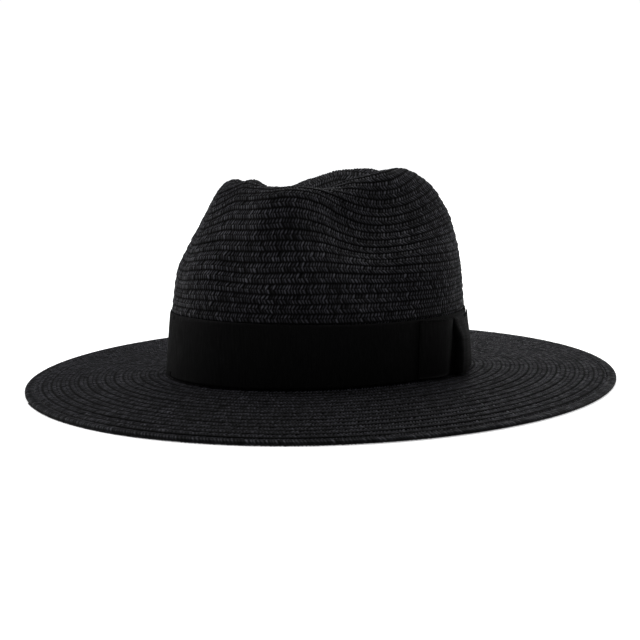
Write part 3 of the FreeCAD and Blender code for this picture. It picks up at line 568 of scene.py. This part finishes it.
def bow_knot():
    # a strap of the same ribbon pulled round the middle of the bow, its ribs lying level
    H, n, m = 36.4, 210, 44
    z = np.linspace(0, 1, n)
    psi = np.linspace(0, 2 * np.pi, m, endpoint=False)
    Z, P = np.meshgrid(z, psi, indexing="ij")
    endr = np.sqrt(np.clip(1 - np.clip((np.abs(2 * Z - 1) - 0.9) / 0.1, 0, 1) ** 2, 0.0, 1))
    half = (6.6 + 0.9 * np.abs(2 * Z - 1) ** 2) * (0.75 + 0.25 * endr)
    far = 1.9 + (7.5 - 1.2 * (1 - Z) ** 3 + 0.3 * np.sin(Z * 7.0)) * (0.12 + 0.88 * endr) * (1 - 0.62 * smooth01((Z - 0.60) / 0.40))
    e = 2 / 3.4
    cx = np.sign(np.cos(P)) * np.abs(np.cos(P)) ** e
    cn = np.sign(np.sin(P)) * np.abs(np.sin(P)) ** e
    sq = Z * H
    cord = 0.12 * rib(sq)
    fold = 0.22 * np.exp(-((cx - 0.35) / 0.10) ** 2) + 0.18 * np.exp(-((cx + 0.45) / 0.08) ** 2)
    nn = 1.75 + (far - 1.75) * (0.5 + 0.5 * cn) + (cord - fold) * np.clip(cn, 0, 1)
    s = (half - 2.2 * (1 - Z) ** 1.5 * (cx > 0) + cord * 0.6) * cx
    p = _skin((0.9 + sq) / PER_ROW, t_of(s), nn)
    ob = build("bow_knot_strap", p.reshape(-1, 3), grid_quads(n, m, False, True, flip=False),
               corner_uv(n, m, z * 0.98 + 0.01, np.r_[psi / 2 / np.pi, 1.0] * 0.98 + 0.01, False, True),
               corner_uv(n, m, z * H * 0.01, np.r_[psi / 2 / np.pi, 1.0] * 0.4, False, True),
               {"rib": rib(sq).ravel(), "sel": (0 * sq + 1).ravel()})
    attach(ob, "root")
    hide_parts("bow_knot")
    return ob


ribbons.append(bow_knot())


def wall_strip(name, node, ta, tb, z0, z1, out, lip, amp, pitch, m=20, per=4.0, closed=False):
    # a flat tape that follows the wall
    tt = np.linspace(ta, tb, 2001)
    p = _skin(np.full_like(tt, 3.0), tt, np.full_like(tt, out))
    s = np.r_[0, np.cumsum(np.linalg.norm(np.diff(p, axis=0), axis=1))]
    length = s[-1]
    n = int(length / pitch * per)
    q = np.arange(n) / n * length if closed else np.linspace(0, length, n)
    t = np.interp(q, s, tt)
    hh, inn = cross_profile(m, lip)
    k = len(hh)
    T, Hh = np.meshgrid(t, hh, indexing="ij")
    Q = np.repeat(q[:, None], k, 1)
    wav = 0.12 * np.sin(Q * 0.05) + 0.08 * np.sin(Q * 0.131 + 1.0)
    cord = amp * rib(Q / pitch * RIB)
    sg = np.sign(out)
    p = _skin((z0 + (z1 - z0) * Hh) / PER_ROW, T, out + sg * (cord + inn[None]) + wav * (closed * 1.0) * 0.5)
    ob = build(name, p.reshape(-1, 3), grid_quads(n, k, closed, flip=(out < 0)),
               corner_uv(n, k, np.r_[q / length, 1.0][:n + 1] if closed else q / length,
                         np.linspace(0.01, 0.99, k), closed, flip=(out < 0)),
               corner_uv(n, k, (np.r_[q, length] if closed else q) * 0.01, hh * 0.01 * (z1 - z0), closed, flip=(out < 0)),
               {"rib": rib(Q / pitch * RIB).ravel(), "sel": (Q * 0 + 1).ravel()})
    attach(ob, "root")
    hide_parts(node)
    return ob


ribbons.append(wall_strip("ribbon_band_end", "band_end", BOW - 13, BOW + 13, 1.1, 38.4, G1 + 0.5, 0.4, 0.1,
                          RIB))
tapes.append(wall_strip("sweat_tape", "sweatband", 0.0, 360.0, 0.3, 32.0, -(TH + 1.15), 0.5, 0.06, 1.6,
                        m=22, per=3.0, closed=True))
tapes.append(wall_strip("sweat_tape_lap", "sweatband_lap", 173.0, 187.0, 0.9, 31.3, -(TH + 1.9), 0.4, 0.06,
                        1.6, m=16, per=3.0))


# ---------------------------------------------------------------- materials
def new_mat(name):
    mat = bpy.data.materials.new(name)
    mat.use_nodes = True
    nt = mat.node_tree
    for n in list(nt.nodes):
        nt.nodes.remove(n)
    out = nt.nodes.new("ShaderNodeOutputMaterial")
    bs = nt.nodes.new("ShaderNodeBsdfPrincipled")
    nt.links.new(bs.outputs["BSDF"], out.inputs["Surface"])
    return mat, nt, bs


def node(nt, kind, **kw):
    n = nt.nodes.new(kind)
    for k, v in kw.items():
        if k.startswith("i_"):
            n.inputs[k[2:].replace("_", " ")].default_value = v
        elif k.startswith("n_"):
            n.inputs[int(k[2:])].default_value = v
        else:
            setattr(n, k, v)
    return n


def link(nt, a, b):
    nt.links.new(a, b)


def attr(nt, name):
    return node(nt, "ShaderNodeAttribute", attribute_name=name).outputs["Fac"]


def uvmap(nt, name, scale):
    u = node(nt, "ShaderNodeUVMap", uv_map=name)
    m = node(nt, "ShaderNodeMapping")
    m.inputs["Scale"].default_value = scale
    link(nt, u.outputs["UV"], m.inputs["Vector"])
    return m.outputs["Vector"]


def obj_coord(nt, scale):
    c = node(nt, "ShaderNodeTexCoord")
    m = node(nt, "ShaderNodeMapping")
    m.inputs["Scale"].default_value = scale
    link(nt, c.outputs["Object"], m.inputs["Vector"])
    return m.outputs["Vector"]


def noise(nt, vec, scale, detail=3.0, rough=0.55):
    n = node(nt, "ShaderNodeTexNoise")
    n.inputs["Scale"].default_value = scale
    n.inputs["Detail"].default_value = detail
    n.inputs["Roughness"].default_value = rough
    link(nt, vec, n.inputs["Vector"])
    return n.outputs["Fac"]


def math_n(nt, op, a, b=None, clamp=False):
    m = node(nt, "ShaderNodeMath", operation=op, use_clamp=clamp)
    for k, v in ((0, a), (1, b)):
        if v is None:
            continue
        if isinstance(v, (int, float)):
            m.inputs[k].default_value = v
        else:
            link(nt, v, m.inputs[k])
    return m.outputs[0]


def span(nt, v, a, b, c, d):
    m = node(nt, "ShaderNodeMapRange")
    link(nt, v, m.inputs["Value"])
    for k, x in zip(("From Min", "From Max", "To Min", "To Max"), (a, b, c, d)):
        m.inputs[k].default_value = x
    return m.outputs["Result"]


def ramp(nt, v, stops):
    r = node(nt, "ShaderNodeValToRGB")
    e = r.color_ramp.elements
    while len(e) < len(stops):
        e.new(0.5)
    for k, (p, c) in enumerate(stops):
        e[k].position = p
        e[k].color = (*c, 1.0)
    link(nt, v, r.inputs["Fac"])
    return r.outputs["Color"]


def bump(nt, h, strength, dist, normal=None):
    b = node(nt, "ShaderNodeBump")
    b.inputs["Strength"].default_value = strength
    b.inputs["Distance"].default_value = dist
    link(nt, h, b.inputs["Height"])
    if normal is not None:
        link(nt, normal, b.inputs["Normal"])
    return b.outputs["Normal"]


def sock(bs, **kw):
    for k, v in kw.items():
        name = {"spec": "Specular IOR Level", "metal": "Metallic", "rough": "Roughness", "sheen": "Sheen Weight",
                "sheen_rough": "Sheen Roughness", "coat": "Coat Weight", "coat_rough": "Coat Roughness",
                "aniso": "Anisotropic", "ior": "IOR"}[k]
        bs.inputs[name].default_value = v


def straw_material():
    mat, nt, bs = new_mat("black_dyed_plait")
    tone, hgt = attr(nt, "tone"), attr(nt, "height")
    fib = noise(nt, uvmap(nt, "plait", (55.0, 620.0, 1.0)), 1.0, 3.0, 0.6)
    blot = noise(nt, obj_coord(nt, (1, 1, 1)), 38.0, 3.0)
    v = math_n(nt, "ADD", math_n(nt, "MULTIPLY", tone, 0.20), math_n(nt, "MULTIPLY", fib, 0.50))
    v = math_n(nt, "ADD", v, math_n(nt, "MULTIPLY", blot, 0.22))
    # painted shade and highlight: the straw colour goes to black where the "height" mask is low (gaps between strands,
    # grooves between rows) and up to 1.6 times brighter on the strand crests
    v = math_n(nt, "MULTIPLY", v, span(nt, hgt, 0.25, 1.0, 0.0, 1.6), clamp=True)
    link(nt, ramp(nt, v, [(0.0, (0.0001, 0.0001, 0.0001)), (0.30, (0.0010, 0.0010, 0.0013)),
                          (0.60, (0.0112, 0.0110, 0.0138)), (1.0, (0.052, 0.0510, 0.0600))]), bs.inputs["Base Color"])
    gloss = math_n(nt, "MULTIPLY", math_n(nt, "ADD", math_n(nt, "MULTIPLY", tone, 0.4), fib), hgt)
    link(nt, span(nt, gloss, 0.05, 0.8, 0.95, 0.36), bs.inputs["Roughness"])
    sock(bs, spec=STRAW_SPEC, ior=1.25)
    link(nt, bump(nt, fib, 0.35, 0.00012), bs.inputs["Normal"])
    return mat


def ribbon_material():
    mat, nt, bs = new_mat("black_grosgrain")
    r = attr(nt, "rib")
    vec = uvmap(nt, "plait", (1.0, 1.0, 1.0))
    weave = node(nt, "ShaderNodeTexWave", wave_type="BANDS", bands_direction="Y", wave_profile="SIN")
    weave.inputs["Scale"].default_value = 130.0
    weave.inputs["Distortion"].default_value = 0.6
    weave.inputs["Detail"].default_value = 2.0
    link(nt, vec, weave.inputs["Vector"])
    slub = noise(nt, uvmap(nt, "plait", (90.0, 9.0, 1.0)), 1.0, 3.0)
    blot = noise(nt, obj_coord(nt, (1, 1, 1)), 30.0, 2.0)
    v = math_n(nt, "ADD", math_n(nt, "MULTIPLY", weave.outputs["Fac"], 0.22), math_n(nt, "MULTIPLY", slub, 0.40))
    v = math_n(nt, "ADD", v, math_n(nt, "MULTIPLY", blot, 0.26))
    # painted shade and highlight: the ribbon colour is darkened to 0.08 in the valleys between the corded ribs and
    # brightened up to 1.45 times on the rib tops
    v = math_n(nt, "MULTIPLY", v, span(nt, r, 0.0, 1.0, 0.08, 1.45), clamp=True)
    link(nt, ramp(nt, v, [(0.0, (0.0003, 0.0003, 0.0003)), (0.5, (0.0010, 0.0010, 0.0011)),
                          (1.0, (0.0026, 0.0026, 0.0029))]), bs.inputs["Base Color"])
    link(nt, span(nt, slub, 0.3, 0.7, 0.74, 0.56), bs.inputs["Roughness"])
    sock(bs, spec=RIBBON_SPEC, ior=1.25)
    n = bump(nt, weave.outputs["Fac"], 0.25, 0.00008)
    link(nt, bump(nt, slub, 0.2, 0.00015, n), bs.inputs["Normal"])
    return mat


def tape_material():
    mat, nt, bs = new_mat("black_cotton_tape")
    vec = uvmap(nt, "plait", (1.0, 1.0, 1.0))
    w1 = node(nt, "ShaderNodeTexWave", wave_type="BANDS", bands_direction="DIAGONAL", wave_profile="SIN")
    w1.inputs["Scale"].default_value = 90.0
    w1.inputs["Distortion"].default_value = 0.8
    link(nt, vec, w1.inputs["Vector"])
    fuzz = noise(nt, obj_coord(nt, (1, 1, 1)), 420.0, 3.0)
    blot = noise(nt, obj_coord(nt, (1, 1, 1)), 24.0, 2.0)
    v = math_n(nt, "ADD", math_n(nt, "MULTIPLY", w1.outputs["Fac"], 0.35), math_n(nt, "MULTIPLY", fuzz, 0.35))
    v = math_n(nt, "ADD", v, math_n(nt, "MULTIPLY", blot, 0.3), clamp=True)
    link(nt, ramp(nt, v, [(0.0, (0.0030, 0.0030, 0.0033)), (0.5, (0.0085, 0.0085, 0.0090)),
                          (1.0, (0.020, 0.020, 0.021))]), bs.inputs["Base Color"])
    link(nt, span(nt, fuzz, 0.3, 0.7, 0.95, 0.75), bs.inputs["Roughness"])
    sock(bs, spec=0.2, sheen=0.08, sheen_rough=0.5)
    n = bump(nt, w1.outputs["Fac"], 0.5, 0.00015)
    link(nt, bump(nt, fuzz, 0.3, 0.00012, n), bs.inputs["Normal"])
    return mat


def thread_material():
    mat, nt, bs = new_mat("black_sewing_thread")
    w = node(nt, "ShaderNodeTexWave", wave_type="BANDS", bands_direction="DIAGONAL")
    w.inputs["Scale"].default_value = 900.0
    w.inputs["Distortion"].default_value = 1.0
    link(nt, obj_coord(nt, (1, 1, 1)), w.inputs["Vector"])
    f = noise(nt, obj_coord(nt, (1, 1, 1)), 1500.0, 2.0)
    v = math_n(nt, "ADD", math_n(nt, "MULTIPLY", w.outputs["Fac"], 0.6), math_n(nt, "MULTIPLY", f, 0.4), clamp=True)
    link(nt, ramp(nt, v, [(0.0, (0.0006, 0.0006, 0.0006)), (1.0, (0.0042, 0.0042, 0.0045))]), bs.inputs["Base Color"])
    link(nt, span(nt, f, 0.3, 0.7, 0.6, 0.42), bs.inputs["Roughness"])
    sock(bs, spec=0.15, ior=1.25)
    link(nt, bump(nt, w.outputs["Fac"], 0.6, 0.00012), bs.inputs["Normal"])
    return mat


def metal_material(name, lo, hi, r0, r1, spots):
    mat, nt, bs = new_mat(name)
    streak = noise(nt, obj_coord(nt, (1, 1, 6)), 700.0, 3.0)
    stain = noise(nt, obj_coord(nt, (1, 1, 1)), spots, 4.0)
    v = math_n(nt, "ADD", math_n(nt, "MULTIPLY", streak, 0.45), math_n(nt, "MULTIPLY", stain, 0.55), clamp=True)
    link(nt, ramp(nt, v, [(0.25, lo), (0.75, hi)]), bs.inputs["Base Color"])
    link(nt, span(nt, v, 0.3, 0.7, r1, r0), bs.inputs["Roughness"])
    sock(bs, metal=1.0)
    link(nt, bump(nt, streak, 0.15, 0.00005), bs.inputs["Normal"])
    return mat


STRAW_SPEC, RIBBON_SPEC = 0.26, 0.14
MATS = {"straw": straw_material(), "ribbon": ribbon_material(), "tape": tape_material(), "thread": thread_material(),
        "wire": metal_material("spring_steel_wire", (0.30, 0.30, 0.31), (0.55, 0.55, 0.56), 0.25, 0.42, 60.0),
        "sleeve": metal_material("brass_sleeve", (0.50, 0.33, 0.12), (0.78, 0.58, 0.28), 0.25, 0.45, 90.0)}


def paint(ob, mat):
    ob.data.materials.clear()
    ob.data.materials.append(mat)


for ob in straw:
    paint(ob, MATS["straw"])
for ob in ribbons:
    paint(ob, MATS["ribbon"])
for ob in tapes:
    paint(ob, MATS["tape"])


# ---------------------------------------------------------------- thread: twisted stitches in place of the plain bars
def stitches(name, cad, places, out_of):
    # places: (height mm above the foot, degrees round, length mm, upright?)
    rings, seg = 9, 8
    vs, qs, u1, k = [], [], [], 0
    for z, t, length, upright in places:
        x = np.linspace(-1, 1, rings)
        ph = np.linspace(0, 2 * np.pi, seg, endpoint=False)
        X, P = np.meshgrid(x, ph, indexing="ij")
        rad = 0.30 * np.sqrt(np.clip(1 - np.abs(X) ** 5, 0.03, 1)) * (1 + 0.10 * np.cos(2 * P + X * 7.0))
        sink = -0.34 * X ** 4
        along = X * length / 2
        side = rad * np.cos(P)
        per = 1.0 / (np.pi / 180.0 * 92.0)
        if upright:
            uu, tt = (z + along) / PER_ROW, t + side * per
        else:
            uu, tt = (z + side) / PER_ROW, t + along * per
        n_out = out_of + np.sign(out_of) * (0.16 + sink) + rad * np.sin(P)
        p = _skin(uu, tt, n_out).reshape(-1, 3)
        vs.append(p)
        q = grid_quads(rings, seg, False, True) + k
        qs.append(q)
        u1.append(corner_uv(rings, seg, np.linspace(0, 1, rings), np.linspace(0, 1, seg + 1), False, True))
        k += len(p)
    n = len(places)
    cols_n = int(math.ceil(math.sqrt(n)))
    uv = []
    for i, u in enumerate(u1):
        cell = np.array([i % cols_n, i // cols_n], float)
        uv.append((u * 0.9 + 0.05 + cell) / cols_n)
    ob = build(name, np.concatenate(vs), np.concatenate(qs), np.concatenate(uv))
    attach(ob, "root")
    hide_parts(cad)
    paint(ob, MATS["thread"])
    return ob




s_in = -(TH + 0.35 + 0.9)
stitches("sweatband_stitching", "sweatband_stitches",
         [(0.35 * PER_ROW + 1.0, i * 7.5 + 3.0, 3.4, False) for i in range(48) if abs(i * 7.5 + 3.0 - 180) > 9], s_in)
stitches("band_stitches", "band_tacks",
         [(z, d, 3.0, True) for d in (0.0, 60.0, 240.0, 300.0) for z in ((FOOT + 0.5) * PER_ROW, (TOP - 0.4) * PER_ROW)], G1 + 0.1)
stitches("bow_stitches", "bow_tacks",
         [(z, float(t_of(s)), 2.2, True) for s in (34.0, -32.0) for z in ((FOOT + 0.9) * PER_ROW, (TOP - 0.9) * PER_ROW)], G1 + 0.15)
for cad, key in (("brim_wire", "wire"), ("wire_sleeve", "sleeve")):
    paint(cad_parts[cad], MATS[key])

# ---------------------------------------------------------------- floor, light and camera
scene = bpy.context.scene
scene.view_settings.view_transform = "Standard"
scene.view_settings.look = "None"


def floor_material():
    mat, nt, bs = new_mat("pale_floor")
    n = noise(nt, obj_coord(nt, (1, 1, 1)), 6.0, 3.0)
    link(nt, ramp(nt, n, [(0.3, (0.90, 0.90, 0.90)), (0.7, (0.94, 0.94, 0.94))]), bs.inputs["Base Color"])
    sock(bs, rough=0.9, spec=0.1)
    bs.inputs["Emission Color"].default_value = (1, 1, 1, 1)
    c = node(nt, "ShaderNodeTexCoord")
    d = node(nt, "ShaderNodeVectorMath", operation="LENGTH")
    link(nt, c.outputs["Object"], d.inputs[0])
    link(nt, span(nt, d.outputs["Value"], 0.25, 1.1, FLOOR_GLOW, 1.0), bs.inputs["Emission Strength"])
    return mat


FLOOR_GLOW = 0.45
R = 14.0
ang = np.linspace(0, 2 * np.pi, 97)[:-1]
me = bpy.data.meshes.new("floor")
me.from_pydata([(R * math.cos(a), R * math.sin(a), -0.0002) for a in ang], [], [tuple(range(96))])
floor = bpy.data.objects.new("floor", me)
scene.collection.objects.link(floor)
paint(floor, floor_material())

world = bpy.data.worlds.new("studio")
scene.world = world
world.use_nodes = True
wn = world.node_tree
for n in list(wn.nodes):
    wn.nodes.remove(n)
wo = wn.nodes.new("ShaderNodeOutputWorld")
seen = wn.nodes.new("ShaderNodeBackground")
seen.inputs["Color"].default_value = (1, 1, 1, 1)
seen.inputs["Strength"].default_value = 1.02
lit = wn.nodes.new("ShaderNodeBackground")
lit.inputs["Color"].default_value = (0.93, 0.96, 1.0, 1)
lit.inputs["Strength"].default_value = 0.16
lp = wn.nodes.new("ShaderNodeLightPath")
mx = wn.nodes.new("ShaderNodeMixShader")
wn.links.new(lp.outputs["Is Camera Ray"], mx.inputs[0])
wn.links.new(lit.outputs[0], mx.inputs[1])
wn.links.new(seen.outputs[0], mx.inputs[2])
wn.links.new(mx.outputs[0], wo.inputs["Surface"])


def softbox(name, at, to, size, power, tint=(1, 1, 1)):
    li = bpy.data.lights.new(name, "AREA")
    li.shape = "RECTANGLE"
    li.size, li.size_y = size
    li.energy = power
    li.color = tint
    ob = bpy.data.objects.new(name, li)
    scene.collection.objects.link(ob)
    d = Vector(to) - Vector(at)
    ob.matrix_world = Matrix.Translation(at) @ d.to_track_quat("-Z", "Y").to_matrix().to_4x4()
    ob.visible_camera = False
    return ob


AZ = math.radians(66.0)                      # the side the picture is taken from
toward = np.array([math.sin(AZ), -math.cos(AZ), 0.0])
right = np.array([math.cos(AZ), math.sin(AZ), 0.0])


def place(r, a, z):
    # a point at distance r, turned a degrees to the right of the viewer, at height z
    a = math.radians(a)
    return tuple(toward * r * math.cos(a) + right * r * math.sin(a) + np.array([0, 0, z]))


softbox("light_top", place(0.15, 180, 1.5), (0, 0, 0.05), (1.6, 1.6), 19.0)
softbox("light_left", place(1.35, -108, 0.62), (0, 0, 0.07), (0.9, 1.1), 10.0)
softbox("light_right", place(1.35, 112, 0.62), (0, 0, 0.07), (0.9, 1.1), 8.0)
softbox("light_front_fill", place(1.8, -18, 1.15), (0, 0, 0.06), (1.0, 0.8), 3.0)

softbox("light_back_fill", place(1.8, 165, 1.15), (0, 0, 0.06), (1.0, 0.8), 5.0)

cam_data = bpy.data.cameras.new("camera")
CAM_A, CAM_D, CAM_H = 66.26, 749.73, 130.72
CAM_YAW, CAM_PITCH, CAM_ROLL, CAM_F = 0.01, 7.60, -0.62, 1155.11
ar, ay, e, rl = (math.radians(v) for v in (CAM_A, CAM_A + CAM_YAW, CAM_PITCH, CAM_ROLL))
C = np.array([CAM_D * math.sin(ar), -CAM_D * math.cos(ar), CAM_H])
cr = np.array([math.cos(ay), math.sin(ay), 0.0])
back = np.array([math.sin(ay), -math.cos(ay), 0.0])
fwd = -(back * math.cos(e) + np.array([0, 0, 1.0]) * math.sin(e))
up = np.cross(cr, fwd)
rr = cr * math.cos(rl) + up * math.sin(rl)
uu = up * math.cos(rl) - cr * math.sin(rl)
M3 = TILT @ np.stack([rr, uu, -fwd], 1)
P3 = (TILT @ C + np.array([0, 0, RISE]) + OFFSET) * 0.001
cam = bpy.data.objects.new("camera", cam_data)
scene.collection.objects.link(cam)
m4 = np.eye(4)
m4[:3, :3], m4[:3, 3] = M3, P3
cam.matrix_world = Matrix([list(map(float, r)) for r in m4])
cam_data.sensor_width = 36.0
cam_data.lens = CAM_F / 640.0 * 36.0
cam_data.clip_start, cam_data.clip_end = 0.01, 60.0
scene.camera = cam
